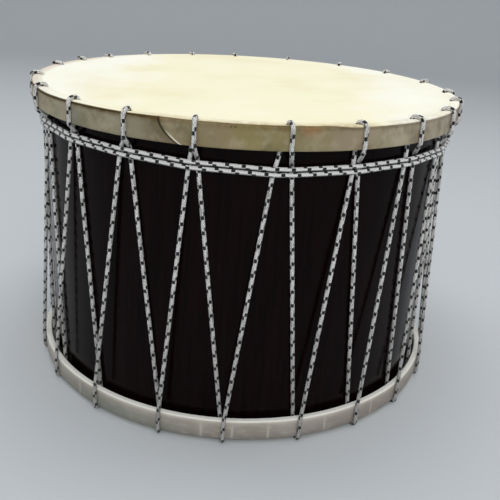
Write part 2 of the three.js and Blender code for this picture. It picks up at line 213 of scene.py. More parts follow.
def dried_head(radius, height, angle):
    """Nudges for the top head: groove, wave and pleat."""
    groove, rim = groove_and_rim(radius, height)
    wave = waves(angle, RIM_WAVES)
    down = np.clip((top_face - height) / rim_height, 0, 1)
    past = angle - (PLEAT_TOP + PLEAT_SWEEP * down ** PLEAT_CURL)
    pleat = ease(0, PLEAT_RISE, past) * (1 - ease(*PLEAT_FADE, past)) * rim
    lift = LOWER_EDGE_WAVE * rim * np.sin(11 * np.radians(angle))
    return (
        radius + rim * (wave - WAVE_SHIFT + PLEAT_STEP * pleat),
        height - groove + lift * ease(0, 8, height - top_face + rim_height),
    )


print("groove", GROOVE_DEPTH, "mm deep, pleat", PLEAT_STEP, "mm proud")

# %% [markdown]
# The section follows the sheet of hide outside and inside, because its thickness shows in the punched holes.
# A sweep can't end in a point, so an opening 1 mm wide stays at the middle, too small to be noticed.

# %% The section of a head
CENTRE = 0.5
edge = DRUM_RADIUS - RIM_ROUND
rim_low = top_face - rim_height
under = top_face - SKIN
flat_radii = [30, 60, 90, 120, 145, 165, 178, 185, *np.arange(187.5, 197.6, 0.8)]
head_section = [
    (CENTRE, top_face),
    *[(r, top_face) for r in flat_radii],
    *arc((edge, top_face - RIM_ROUND), RIM_ROUND, 90, 0),
    *[(DRUM_RADIUS, top_face - RIM_ROUND - (rim_height - 2 * RIM_ROUND) * k / 12) for k in range(1, 12)],
    *arc((edge, rim_low + RIM_ROUND), RIM_ROUND, 0, -90),
    *arc((rim_inner + RIM_ROUND, rim_low + RIM_ROUND), RIM_ROUND, -90, -180),
    (rim_inner, under - TUCK_GAP), (rim_inner + SKIN, under - TUCK_GAP),
    (rim_inner + SKIN, rim_low + SKIN), (DRUM_RADIUS - SKIN, rim_low + SKIN), (DRUM_RADIUS - SKIN, under),
    *[(r, under) for r in reversed(flat_radii)],
    (CENTRE, under),
]
print("points in the section of a head:", len(head_section))

# %% [markdown]
# The rope goes through 21 holes just inside each hoop. Their angles are the CAD model's, read off the drum
# one by one, because a hand-laced drum never spaces them evenly. A boolean cuts them, so that the hide's
# thickness shows in each.

# %% Where the rope turns over each hoop
TOP_TURNS = [75.8, 95, 110.5, 127, 142.8, 155.5, 169, 189, 208.5, 227.2, 243.7,
             259.6, 279.6, 296.1, 313.2, 330.2, 347, 361, 378.2, 397.4, 416.6]
BOTTOM_TURNS = [85.4, 102.8, 118.8, 134.9, 149.2, 162.3, 179, 197, 214, 233.2, 252.4,
                268.5, 287.2, 303.7, 320.5, 338.2, 354, 369.6, 387.8, 407, 426.2]
TURN_LEAN = 0.2  # degrees from the middle of a turn to its hole, and on to the hoop's face
HOLE_RADIUS = 2.25
PUNCH_DEPTH = 5


def punch(head, angles, height):
    """Cuts one round hole through the hide at each angle."""
    cutters = bmesh.new()
    for angle in angles:
        turn = math.radians(angle)
        place = Vector((behind_hoop * math.cos(turn), behind_hoop * math.sin(turn), height)) / 1000
        bmesh.ops.create_cone(
            cutters, cap_ends=True, segments=24, radius1=HOLE_RADIUS / 1000, radius2=HOLE_RADIUS / 1000,
            depth=PUNCH_DEPTH / 1000, matrix=Matrix.Translation(place))
    mesh = bpy.data.meshes.new("punch")
    cutters.to_mesh(mesh)
    cutters.free()
    punches = in_scene("punch", mesh)
    cut = head.modifiers.new("punch", "BOOLEAN")
    cut.object, cut.operation, cut.solver = punches, "DIFFERENCE", "EXACT"
    depsgraph = bpy.context.evaluated_depsgraph_get()
    holed = bpy.data.meshes.new_from_object(head.evaluated_get(depsgraph))
    head.modifiers.clear()
    head.data = holed
    bpy.data.objects.remove(punches)


print("turns over the hoops:", len(TOP_TURNS), "and", len(BOTTOM_TURNS))

# %% [markdown]
# Sweep, punch, then smooth, because a boolean wants plain closed forms. The pleat is only a few degrees wide,
# so the top head gets extra angles there and nowhere else.

# %% The two heads
PLEAT_FROM, PLEAT_TO = 251, 263
LOW_RIM_WAVES = [(0.09, 4, 0.3), (0.06, 9, 1.9), (0.05, 27, 0)]
outside_pleat = wide_angles[(wide_angles < PLEAT_FROM) | (wide_angles >= PLEAT_TO)]
head_angles = np.sort(np.concatenate([outside_pleat, np.arange(PLEAT_FROM, PLEAT_TO, 0.25)]))
playing_head = swept_round("playing_head", head_section, head_angles, dried_head)
punch(playing_head, [a - TURN_LEAN for a in TOP_TURNS], top_face - SKIN / 2)
smoothed(playing_head)


def dried_plain(radius, height, angle):
    """The bottom head: the same form turned over, without a pleat."""
    groove, rim = groove_and_rim(radius, height)
    wave = waves(angle, LOW_RIM_WAVES)
    return radius + rim * (wave - WAVE_SHIFT), 2 * middle - (height - groove)


resonant_head = swept_round("resonant_head", head_section, wide_angles, dried_plain)
punch(resonant_head, [a - TURN_LEAN for a in BOTTOM_TURNS], bottom_face + SKIN / 2)
smoothed(resonant_head)
print("faces of the heads:", len(playing_head.data.polygons), len(resonant_head.data.polygons))

# %% [markdown]
# The lacing is one rope about twelve metres long, so it is built along one route. It comes up through a hole,
# over the hoop and down its face, dives in under the belt, runs down the shell behind the bottom hoop, and
# comes out through a hole there to climb again. Each part is written as (radius, height) points, which then
# get their angles, just as the maker's hand moves along while it laces.

# %% Bends of the rope over and under a hoop
on_face = DRUM_RADIUS + ROPE_REST + ROPE / 2
on_shell = shell_outer + ROPE_REST + ROPE / 2
belt_radius = on_shell + ROPE + ROPE_REST
hole_bend = ROPE_REST + ROPE / 2
corner_bend = RIM_ROUND + hole_bend
BELT_DROP_SHARES = [0.96, 1, 0.95, 0.92, 0.96, 0.98, 0.91, 0.84, 0.79, 0.83, 0.86,
                    0.98, 1.08, 1.03, 1.03, 1.1, 1.04, 0.97, 0.98, 1.03, 1]
belt_heights = [top_face - rim_height - BELT_DROP * share for share in BELT_DROP_SHARES]
print("belt from", round(min(belt_heights), 1), "to", round(max(belt_heights), 1), "mm high")


def over_hoop():
    """Up through the hole and over the hoop."""
    return [
        *arc((behind_hoop + hole_bend, top_face), hole_bend, 180, 90),
        *arc((edge, top_face - RIM_ROUND), corner_bend, 90, 0),
    ]


def in_under_hoop(upper_turn):
    """Round the hoop's lower edge and in behind the belt."""
    corner = (edge, rim_low + RIM_ROUND)
    belt_bend = belt_radius - on_shell
    drop, inset = corner[1] - upper_turn, corner[0] - belt_radius
    slant = math.degrees(math.asin((corner_bend + belt_bend) / math.hypot(drop, inset))
                         + math.atan2(inset, drop))
    return [
        *arc(corner, corner_bend, 0, -slant),
        *arc((belt_radius, upper_turn), belt_bend, 180 - slant, 180),
    ]


def turned_over(points):
    """The same points on the other hoop."""
    return [(radius, 2 * middle - height) for radius, height in points]

# %% [markdown]
# The belt holds the two strands of each turn close together, a little off the turn itself. These shifts, in
# degrees, make the lacing look tied by hand instead of drawn with a compass.

# %% Strands between the hoops
UP_SHIFTS = [-1.3, -0.9, -1.2, -1.6, -1, -1.1, -1.4, -1.8, -2.2, -4.2, -3.2,
             -1.7, -2.9, -0.2, -0.6, 0.1, -0.9, -1.2, -1, -1.4, -1.1]
DOWN_SHIFTS = [0.9, 1.2, 1, 0.8, 1.2, 1, 0.9, 0.7, 0.4, -1.6, -0.3,
               0.4, 1.3, 1.2, 3, 2, 1.1, 0.9, 1.2, 1, 1.1]
STEPS_DOWN_SHELL = 14


def around(radius, height, angle):
    """A point in mm at an angle in degrees."""
    turn = math.radians(angle)
    return np.array([radius * math.cos(turn), radius * math.sin(turn), height])


def laid(points, lower, upper):
    """Gives each point an angle that goes evenly from one (angle, height) to another."""
    placed = []
    for radius, height in points:
        share = min(max((height - lower[1]) / (upper[1] - lower[1]), 0), 1)
        placed.append(around(radius, height, lower[0] + share * (upper[0] - lower[0])))
    return placed


def strand_down(index):
    """From the top hoop in behind the belt and down to the next hole."""
    top_edge = (TOP_TURNS[index] + TURN_LEAN, rim_low + RIM_ROUND)
    held = (TOP_TURNS[index] + DOWN_SHIFTS[index], belt_heights[index] + BELT_SPACING / 2)
    foot = (BOTTOM_TURNS[index] - TURN_LEAN, bottom_face)
    down_shell = []
    for step in range(1, STEPS_DOWN_SHELL):
        share = step / STEPS_DOWN_SHELL
        radius = on_shell + share * (behind_hoop - on_shell)
        down_shell.append((radius, held[1] + share * (foot[1] - held[1])))
    return laid(in_under_hoop(held[1]), held, top_edge) + laid(down_shell, foot, held)


def strand_up(index):
    """From the bottom hoop's face up to the belt."""
    after = (index + 1) % len(TOP_TURNS)
    whole_turn = 360 if after == 0 else 0
    foot = (BOTTOM_TURNS[index] + TURN_LEAN, bottom_face + rim_height - RIM_ROUND)
    under_belt = belt_heights[after] - BELT_SPACING / 2 - ROPE / 2
    held = (TOP_TURNS[after] + UP_SHIFTS[after] + whole_turn, under_belt)
    return laid([(on_face, foot[1]), (on_shell, held[1])], foot, held)


def hoop_turn(points, angle):
    """A turn leans forward a little between its hole and the hoop's face."""
    hole, face = points[0][0], points[-1][0]
    return [around(r, z, angle + TURN_LEAN * (2 * (r - hole) / (face - hole) - 1)) for r, z in points]


print("points of one strand down:", len(strand_down(0)))

# %% [markdown]
# Both ropes end in a hitch: one end is wound twice round the other and its tail is left to stand off. A place
# in a hitch is counted in rope widths along the rope, across it and out from the drum, as in a book of knots.

# %% Hitches
HITCH_WIDTH = 3.75  # one rope width in a hitch, in mm
HITCH_TURNS, HITCH_STEPS = 2, 12
WINDING_START, WINDING_LAY = -1.2, 1.06
TAIL = [(0.6, 0.55, 0.95), (1.7, 0.75, 1.05), (3, 0.45, 1.3)]


def at_hitch(places, origin, along, outward):
    """Turns places in a hitch into points in mm."""
    across = np.cross(outward, along)
    across = across / np.linalg.norm(across)
    out = np.cross(along, across)
    out = out / np.linalg.norm(out)
    return [origin + HITCH_WIDTH * (a * along + b * across + c * out) for a, b, c in places]


def winding(core_ropes):
    """Round one rope or two side by side, and out to the tail."""
    spread = (core_ropes - 1) / 2
    places = []
    for step in range(HITCH_TURNS * HITCH_STEPS):
        turned = 2 * math.pi * (step + 0.5) / HITCH_STEPS
        side = math.sin(turned)
        back = WINDING_START - WINDING_LAY * step / HITCH_STEPS
        places.append((back, side + math.copysign(spread, side), math.cos(turned)))
    end = places[-1][0]
    return places + [(end - a, b, c) for a, b, c in TAIL]


print("points of a hitch:", len(winding(1)))

# %% The lacing's route
LACING_START = [(-0.3, -0.4, 0.95), (0.8, -0.45, 0.75), (2, -0.2, 0.4), (3.2, 0, 0.05)]
LACING_END = [(-4.6, 0, 0), (-1, 0, 0), (0.4, 0.45, -0.1), (1.7, 1, -0.1), (4.6, 1.3, 0.1)]
HITCH_RISE = 42  # how far up the last strand the hitch sits


def lacing_route():
    """Up and down, from the hitch round to the hitch."""
    count = len(TOP_TURNS)
    foot, top = strand_up(count - 1)
    along = (top - foot) / np.linalg.norm(top - foot)
    hitch = foot + HITCH_RISE * along
    outward = np.array([hitch[0], hitch[1], 0]) / math.hypot(hitch[0], hitch[1])
    route = at_hitch(winding(1)[::-1] + LACING_START, hitch, along, outward) + [top]
    for index in range(count):
        route += hoop_turn(over_hoop(), TOP_TURNS[index]) + strand_down(index)
        route += hoop_turn(turned_over(over_hoop()), BOTTOM_TURNS[index])
        if index < count - 1:
            route += strand_up(index)
    return route + [foot] + at_hitch(LACING_END, hitch, along, outward)


print("points of the lacing's route:", len(lacing_route()))

# %% The belt's route
BELT_START = [(-0.4, -0.5, 1), (0.5, -0.85, 0.85), (1.5, -0.85, 0.45), (2.6, -0.6, 0.1), (3.6, -0.5, 0)]
BELT_MIDDLE = [(-3.6, -0.5, 0), (-1, -0.5, 0), (0, -0.2, 0), (1, 0.25, 0), (2, 0.5, 0), (3.6, 0.5, 0)]
BELT_END = [(-3.6, 0.5, 0), (-1, 0.5, 0), (0, 0.95, 0), (1, 1.5, 0), (2, 1.75, 0), (4.4, 1.8, 0.1)]


def belt_round(level):
    """Once round the drum, over every strand."""
    points = []
    for place in range(1, len(TOP_TURNS) + 1):
        index = place % len(TOP_TURNS)
        height = belt_heights[index] + level * BELT_SPACING
        for shift in (UP_SHIFTS[index], DOWN_SHIFTS[index]):
            points.append(around(belt_radius, height, TOP_TURNS[index] + shift))
    return points


def belt_route():
    """Twice round, and through the hitch each time."""
    hitch_angle = (TOP_TURNS[0] + TOP_TURNS[1]) / 2
    hitch = around(belt_radius, belt_heights[0], hitch_angle)
    outward = around(1, 0, hitch_angle)
    along = np.cross([0, 0, 1], outward)
    return (
        at_hitch(winding(2)[::-1] + BELT_START, hitch, along, outward)
        + belt_round(-0.5)
        + at_hitch(BELT_MIDDLE, hitch, along, outward)
        + belt_round(0.5)
        + at_hitch(BELT_END, hitch, along, outward)
    )


print("points of the belt's route:", len(belt_route()))

# %% [markdown]
# The rope is a braided cord with one dark tracer yarn. A curve with a bevel would make a smooth hose, so its
# skin is built ring by ring, and every other point stands proud, as the crossings of a braid do. Mesh and
# material share one counting: u goes round the rope and v counts the tracer's turns along it.

# %% Relax a route
FINE_STEP = 0.4
KINK_REACH = 1.1  # every corner is rounded over this many mm


def evenly(points, step):
    """Points at even steps along a route, and its length."""
    lengths = np.linalg.norm(np.diff(points, axis=0), axis=1)
    along = np.concatenate([[0], np.cumsum(lengths)])
    marks = np.linspace(0, along[-1], max(2, round(along[-1] / step) + 1))
    return np.stack([np.interp(marks, along, points[:, k]) for k in range(3)], -1), along[-1]


def relaxed(route):
    """Rounds the corners of a route, since a taut rope has no kinks."""
    points, _ = evenly(np.array(route), FINE_STEP)
    wide = int(3 * KINK_REACH / FINE_STEP)
    weight = np.exp(-0.5 * (np.arange(-wide, wide + 1) * FINE_STEP / KINK_REACH) ** 2)
    weight = weight / weight.sum()
    padded = np.concatenate([np.repeat(points[:1], wide, 0), points, np.repeat(points[-1:], wide, 0)])
    return np.stack([np.convolve(padded[:, k], weight, "valid") for k in range(3)], -1)


print("points of the belt's relaxed route:", len(relaxed(belt_route())))

# %% Braid a rope along a route
ROPE_SIDES = 10
TRACER_PITCH = 12.2  # along the rope, for one turn of the tracer
RINGS_A_PITCH = 9
BRAID_RADIUS, BRAID_RELIEF = 1.72, 0.1
END_PLACE = (0.05, 0.05)


def rings_round(middle_line):
    """A ring of points round each point of the middle line, every other one proud."""
    tangent = np.gradient(middle_line, axis=0)
    tangent = tangent / np.linalg.norm(tangent, axis=1, keepdims=True)
    side = np.cross(tangent[0], [0, 0, 1])
    points = []
    for ring, (centre, ahead) in enumerate(zip(middle_line, tangent)):
        side = side - ahead * side.dot(ahead)
        side = side / np.linalg.norm(side)
        up = np.cross(ahead, side)
        for corner in range(ROPE_SIDES):
            turn = 2 * math.pi * corner / ROPE_SIDES
            reach = BRAID_RADIUS + BRAID_RELIEF * (-1) ** (ring + corner)
            points.append(centre + reach * (math.cos(turn) * side + math.sin(turn) * up))
    points = np.array(points)
    points[:, 2] = np.maximum(points[:, 2], 0)  # no yarn goes through the floor
    return points


def skin_over(rings):
    """Faces between the rings and over the ends, and each corner's place in the braid."""
    faces, places = faces_between(rings, ROPE_SIDES, rings - 1, ROPE_SIDES), []
    for ring in range(rings - 1):
        for corner in range(ROPE_SIDES):
            u0, u1 = corner / ROPE_SIDES, (corner + 1) / ROPE_SIDES
            v0, v1 = ring / RINGS_A_PITCH, (ring + 1) / RINGS_A_PITCH
            places += [(u0, v0), (u0, v1), (u1, v1), (u1, v0)]
    for ends in (range(ROPE_SIDES), range((rings - 1) * ROPE_SIDES, rings * ROPE_SIDES)):
        faces.append(tuple(ends))
        places += [END_PLACE] * ROPE_SIDES
    return faces, places


def braided(name, route):
    middle_line, length = evenly(relaxed(route), TRACER_PITCH / RINGS_A_PITCH)
    faces, places = skin_over(len(middle_line))
    piece = piece_of(name, (rings_round(middle_line) / 1000).tolist(), faces)
    yarns = piece.data.uv_layers.new(name="yarns")
    yarns.data.foreach_set("uv", np.array(places, np.float32).ravel())
    piece.data.polygons.foreach_set("use_smooth", [True] * len(faces))
    print(name, "is", round(length / 1000, 2), "m long, with", len(faces), "faces")
    return piece


lacing = braided("lacing", lacing_route())
belt = braided("belt", belt_route())

# %% [markdown]
# Now the finishes. Colours are written as on a chart, in sRGB, while Blender mixes light in linear numbers,
# so one function turns the one into the other. Another adds every node: it takes the sockets by name or
# number and hands back the output that the next node needs. The scale of a noise is a count per metre, so
# at a scale of 45 its patches are about 22 mm wide.

# %% Colours and nodes
SOFT = {"interpolation_type": "SMOOTHSTEP"}  # for a MapRange node that eases in and out


def colour(code):
    """An sRGB hex colour as linear numbers."""
    parts = [int(code[i:i + 2], 16) / 255 for i in (1, 3, 5)]
    return tuple(c / 12.92 if c <= 0.04045 else ((c + 0.055) / 1.055) ** 2.4 for c in parts) + (1.0,)


def join(material, node, sockets):
    """Links a socket to an output, or sets it to a number or a hex colour."""
    for socket, value in sockets.items():
        if isinstance(value, bpy.types.NodeSocket):
            material.node_tree.links.new(value, node.inputs[socket])
        else:
            node.inputs[socket].default_value = colour(value) if isinstance(value, str) else value


def add(material, kind, sockets, output=0, stops=(), **settings):
    """Adds a node with its settings, joins its sockets and returns one of its outputs."""
    node = material.node_tree.nodes.new("ShaderNode" + kind)
    for name, value in settings.items():
        setattr(node, name, value)
    join(material, node, sockets)
    if stops:
        elements = node.color_ramp.elements
        elements[0].position, elements[1].position = stops[0][0], stops[-1][0]
        elements[0].color, elements[1].color = colour(stops[0][1]), colour(stops[-1][1])
        for position, code in stops[1:-1]:
            elements.new(position).color = colour(code)
    return node.outputs[output]


def tinted(material, under, over, *shares):
    """Lays one colour over another, by the product of the shares."""
    share = shares[0]
    for other in shares[1:]:
        share = add(material, "Math", {0: share, 1: other}, operation="MULTIPLY")
    return add(material, "Mix", {0: share, 6: under, 7: over}, 2, data_type="RGBA")


def finish_called(name, sockets):
    """A new material, with what is the same all over the surface."""
    material = bpy.data.materials.new(name)
    material.use_nodes = True
    shader = material.node_tree.nodes["Principled BSDF"]
    join(material, shader, sockets)
    return material, shader


def wear(piece, material, node_name):
    """Puts the finish on a piece, which rides on the drum and stands for a CAD node."""
    piece.data.materials.clear()
    piece.data.materials.append(material)
    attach(piece, "root")
    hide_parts(node_name)
    print(piece.name, "wears", material.name)


print("#808080 is", round(colour("#808080")[0], 3), "in linear numbers")

# %% [markdown]
# The shell's finish is a dark cherry lacquer over stained wood: brushed on, rubbed down and polished. It is
# almost black where it faces you, with a breath of red-brown, and mirrors pale surroundings at its sides,
# where you look along it. From the bent board beneath it keeps shallow ripples that run up and down.

# %% Cherry lacquer
lacquer, shader = finish_called("polished_cherry_lacquer", {"IOR": 1.5, "Specular IOR Level": 0.06})
place = add(lacquer, "TexCoord", {}, "Object")
along_grain = add(lacquer, "Mapping", {"Vector": place, "Scale": (1, 1, 0.06)})
grain = add(lacquer, "TexNoise", {"Vector": along_grain, "Scale": 260, "Detail": 5, "Roughness": 0.6})
stain = add(lacquer, "ValToRGB", {0: grain}, stops=[(0.35, "#080303"), (0.72, "#150808")])
wipes = add(lacquer, "TexNoise", {"Vector": place, "Scale": 45, "Detail": 3, "Roughness": 0.55})
gloss = add(lacquer, "MapRange", {0: wipes, 1: 0.3, 2: 0.75, 3: 0.11, 4: 0.22})
ripples = add(lacquer, "Mapping", {"Vector": place, "Scale": (1, 1, 0.12)})
ripple = add(lacquer, "TexNoise", {"Vector": ripples, "Scale": 38, "Detail": 1})
peel = add(lacquer, "Bump", {"Height": ripple, "Distance": 0.0006, "Strength": 0.35})
join(lacquer, shader, {"Base Color": stain, "Roughness": gloss, "Normal": peel})
wear(shell, lacquer, "shell")

# %% [markdown]
# The hoops and the reinforcing rings are steam-bent beech, left bare because hide or shell covers them. The
# CAD pieces have the right shape, so they stay and only get a finish. The grain follows the bend, so it is
# drawn along the angle about the drum's axis.

# %% Bent beech
def bent_beech(name, pale, dark):
    """Beech whose grain follows the bend."""
    wood, shader = finish_called(name, {"Roughness": 0.55, "IOR": 1.5})
    place = add(wood, "TexCoord", {}, "Object")
    axes = add(wood, "SeparateXYZ", {0: place}).node
    turn = add(wood, "Math", {0: axes.outputs[1], 1: axes.outputs[0]}, operation="ARCTAN2")
    radius = add(wood, "VectorMath", {0: place}, "Value", operation="LENGTH")
    # One radian is about 190 mm of hoop, so its flecks are about 30 mm long and 1 mm wide.
    flat = add(wood, "CombineXYZ", {0: turn, 1: axes.outputs[2], 2: radius})
    fibres = add(wood, "Mapping", {"Vector": flat, "Scale": (6, 900, 900)})
    grain = add(wood, "TexNoise", {"Vector": fibres, "Scale": 1, "Detail": 4, "Roughness": 0.6})
    tone = add(wood, "ValToRGB", {0: grain}, stops=[(0.32, dark), (0.68, pale)])
    fuzz = add(wood, "Bump", {"Height": grain, "Distance": 0.0002, "Strength": 0.5})
    join(wood, shader, {"Base Color": tone, "Normal": fuzz})
    return wood


hoop_beech = bent_beech("bent_beech_hoop", "#C49B6C", "#9A7347")
ring_beech = bent_beech("bent_beech_ring", "#BC9566", "#8F6B42")
for node_name, beech in (("top_hoop", hoop_beech), ("bottom_hoop", hoop_beech),
                         ("top_reinforcing_ring", ring_beech), ("bottom_reinforcing_ring", ring_beech)):
    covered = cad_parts[node_name]
    covered.data.materials.clear()
    covered.data.materials.append(beech)
    print(node_name, "is finished in", beech.name)

# %% [markdown]
# Rawhide is dried skin that was never tanned. Light goes a little way into it, it is cream with cloudy
# patches, and hands grime it where the drum is held, which is the rim. Such a finish is told by places: the
# angle, height and radius of each point. A mark is then a soft spot about a place, laid over what is beneath.

# %% Places and marks on a head
def head_places(hide):
    """The point, its angle as a share of a turn, and its height and radius in metres."""
    place = add(hide, "TexCoord", {}, "Object")
    axes = add(hide, "SeparateXYZ", {0: place}).node
    turn = add(hide, "Math", {0: axes.outputs[1], 1: axes.outputs[0]}, operation="ARCTAN2")
    turn = add(hide, "Math", {0: turn, 1: 2 * math.pi}, operation="DIVIDE")
    turn = add(hide, "Math", {0: turn}, operation="FRACT")
    level = add(hide, "CombineXYZ", {0: axes.outputs[0], 1: axes.outputs[1]})
    radius = add(hide, "VectorMath", {0: level}, "Value", operation="LENGTH")
    return place, turn, axes.outputs[2], radius


def mark(material, value, centre, reach, strength=1.0):
    """A soft mark: full strength at the centre and nothing at the reach from it."""
    away = add(material, "Math", {0: value, 1: centre}, operation="SUBTRACT")
    away = add(material, "Math", {0: away}, operation="ABSOLUTE")
    return add(material, "MapRange", {0: away, 1: 0.0, 2: reach, 3: strength, 4: 0.0}, **SOFT)


def patched(material, under, patches, **easing):
    """Lays colours over another, each where a pattern goes from low to high."""
    for pattern, low, high, strength, code in patches:
        share = add(material, "MapRange", {0: pattern, 1: low, 2: high, 4: strength}, **easing)
        under = tinted(material, under, code, share)
    return under


def spots(hide, under, turn, height, marks):
    """Lays marks over a colour, by angle, height and reaches in degrees and mm."""
    for angle, wide, level, tall, strength, code in marks:
        column = mark(hide, turn, angle / 360, wide / 360, strength)
        row = mark(hide, height, level / 1000, tall / 1000)
        under = tinted(hide, under, code, column, row)
    return under


print("one degree of the rim is", round(math.radians(1) * DRUM_RADIUS, 1), "mm wide")

# %% [markdown]
# The playing head. Its face is pale cream, a little yellower in a broad band where the animal's back was,
# with faint clouds about 60 mm across, and it sinks into shadow in the groove beside the hoop.

# %% Rawhide of the playing face
RAWHIDE = {
    "IOR": 1.5, "Subsurface Weight": 0.06, "Subsurface Scale": 0.004, "Subsurface Radius": (1.0, 0.7, 0.45),
}
TOP = top_face / 1000
hide, shader = finish_called("scraped_rawhide", {**RAWHIDE, "Specular IOR Level": 0.08})
place, turn, height, radius = head_places(hide)
clouds = add(hide, "TexNoise", {"Vector": place, "Scale": 16, "Detail": 4, "Roughness": 0.55})
spine = add(hide, "ValToRGB", {0: clouds}, stops=[(0.3, "#F6EECA"), (0.5, "#FAF4D4"), (0.72, "#FBF6DB")])
flank = add(hide, "ValToRGB", {0: clouds}, stops=[(0.3, "#FAF6E1"), (0.5, "#FDFBEA"), (0.72, "#FDFBEE")])
# The spine runs from front to back. Clouds shift its edge, which fades between 120 and 200 mm from it.
aside = add(hide, "SeparateXYZ", {0: place})
aside = add(hide, "Math", {0: aside}, operation="ABSOLUTE")
aside = add(hide, "Math", {0: clouds, 1: 0.09, 2: aside}, operation="MULTIPLY_ADD")
aside = add(hide, "MapRange", {0: aside, 1: 0.12, 2: 0.2}, **SOFT)
face = tinted(hide, spine, flank, aside)
flecks = add(hide, "TexNoise", {"Vector": place, "Scale": 120, "Detail": 6, "Roughness": 0.7})
face = patched(hide, face, [(flecks, 0.58, 0.75, 0.12, "#DECD9E")], **SOFT)
# Painted shade in the groove beside the hoop.
groove_shade = mark(hide, radius, behind_hoop / 1000, 0.0016, 0.14)
face = tinted(hide, face, "#B5A47C", groove_shade)
print("the face takes", len(hide.node_tree.nodes), "nodes")

# %% [markdown]
# Wear and a painted highlight vary round the drum, so four grey ramps over the angle say how much of each
# there is at each place: 00 is none and FF is all of it. They are for the dark line where the rim is held, the
# stain that spilt on to the face, the painted highlight on the rounded edge and the worn patch at the back.

# %% How much wear and painted edge highlight there is round the drum
held_here, spilt_here, painted_edge_highlight, worn_back = (
    add(hide, "ValToRGB", {0: turn}, stops=[(share, "#" + 3 * grey) for share, grey in stops])
    for stops in (
        [(0.0, "70"), (0.45, "B0"), (0.56, "FF"), (0.69, "FF"), (0.715, "B4"), (0.755, "AC"), (0.77, "D8"),
         (0.79, "CF"), (0.83, "80"), (1.0, "70")],
        [(0.0, "00"), (0.675, "00"), (0.70, "E6"), (0.79, "F4"), (0.818, "E0"), (0.836, "60"), (0.858, "B8"),
         (0.92, "60"), (1.0, "00")],
        # the painted highlight on the rounded edge
        [(0.0, "80"), (0.45, "40"), (0.60, "FF"), (0.68, "B0"), (0.70, "00"), (0.80, "00"), (0.815, "FF"),
         (0.95, "FF"), (1.0, "80")],
        [(0.0, "00"), (0.36, "00"), (0.42, "B0"), (0.56, "B0"), (0.61, "00"), (1.0, "00")],
    )
)
print("with the four ramps:", len(hide.node_tree.nodes), "nodes")

# %% [markdown]
# The rim of the playing head is what hands hold. It is olive and brown at the front and left and greyer to
# the right, with patches of grime 10 to 30 mm across. It is darkest in a narrow line just under the edge,
# where the hide is stretched hardest over the hoop.

# %% Grime on the playing head's rim
rim = add(hide, "ValToRGB", {0: turn}, stops=[
    (0.0, "#A59B89"), (0.2, "#A89F87"), (0.42, "#A8967F"), (0.6, "#AEA88E"), (0.66, "#9A967E"),
    (0.687, "#968F77"), (0.694, "#80775D"), (0.712, "#8B8061"), (0.75, "#92865A"), (0.8, "#978B6B"),
    (0.86, "#BAAE96"), (0.93, "#A8A295"), (1.0, "#A59B89"),
])
for scale, low, high, strength, code in (
    (34, 0.42, 0.58, 0.3, "#A08A7C"), (48, 0.47, 0.66, 0.5, "#6B6246"), (95, 0.46, 0.7, 0.4, "#B9AE93"),
):
    grime = add(hide, "TexNoise", {"Vector": place, "Scale": scale, "Detail": 4, "Roughness": 0.6})
    rim = patched(hide, rim, [(grime, low, high, strength, code)], **SOFT)
# The narrow dark line lies 1.4 mm below the face.
under_edge = mark(hide, height, TOP - 0.0014, 0.0042, 0.95)
uneven = add(hide, "MapRange", {0: flecks, 1: 0.4, 2: 0.62, 3: 0.35, 4: 1.0})
rim = tinted(hide, rim, "#604819", under_edge, uneven, held_here)
print("with the rim:", len(hide.node_tree.nodes), "nodes")

# %% [markdown]
# The pleat gets painted light and shade along the same curve as in the mesh, so that colour and shape agree:
# a dark crease of painted shade with a painted shadow beside it, a lit fold as a painted highlight, and a
# paler band on the other side. The spots are stains that can be told apart on the real rim.

# %% Marks on the playing head's rim
down = add(hide, "MapRange", {0: height, 1: TOP, 2: TOP - rim_height / 1000})
down = add(hide, "Math", {0: down, 1: PLEAT_CURL}, operation="POWER")
pleat_turn = add(hide, "Math", {0: down, 1: PLEAT_SWEEP / 360, 2: PLEAT_TOP / 360},
                 operation="MULTIPLY_ADD")
past = add(hide, "Math", {0: turn, 1: pleat_turn}, operation="SUBTRACT")
low_down = add(hide, "MapRange", {0: height, 1: TOP - 0.015, 2: TOP - 0.007, 3: 1.0, 4: 0.0}, **SOFT)
PAINTED_FOLD_HIGHLIGHT = "#FBF2D6"  # the fold catches light only low on the rim
# Degrees past the pleat, reach in degrees, strength and colour.
# In order: the paler band, the painted shadow, the painted highlight of the fold and the crease's painted
# shade.
for degrees, wide, strength, code in (
    (1.8, 2.2, 0.3, "#B09C80"), (-1.4, 2.2, 0.35, "#5F5236"),
    (0.6, 0.6, 1.0, PAINTED_FOLD_HIGHLIGHT), (-0.1, 0.6, 0.9, "#2A2115"),
):
    fold = [mark(hide, past, degrees / 360, wide / 360, strength)]
    if code == PAINTED_FOLD_HIGHLIGHT:
        fold.append(low_down)
    rim = tinted(hide, rim, code, *fold)
rim = spots(hide, rim, turn, height, [
    (215.5, 3.2, 264, 11, 0.45, "#A48A80"), (221.5, 2.6, 262, 9, 0.35, "#7C8470"),
    (228.3, 3.4, 262, 10, 0.4, "#8F8F8C"), (204.5, 4, 268, 8, 0.35, "#7E7C5E"),
    (209, 3, 258, 7, 0.4, "#B0A08E"), (283.9, 3.4, 271.2, 7, 0.6, "#A7744F"),
    (248.6, 4.4, 272, 1.4, 0.8, "#4E3C22"), (267.2, 0.3, 271.2, 1, 0.8, "#3B3122"),
    (268.1, 0.3, 271.2, 1, 0.8, "#3B3122"),
])
print("marks laid on the rim of", playing_head.name)
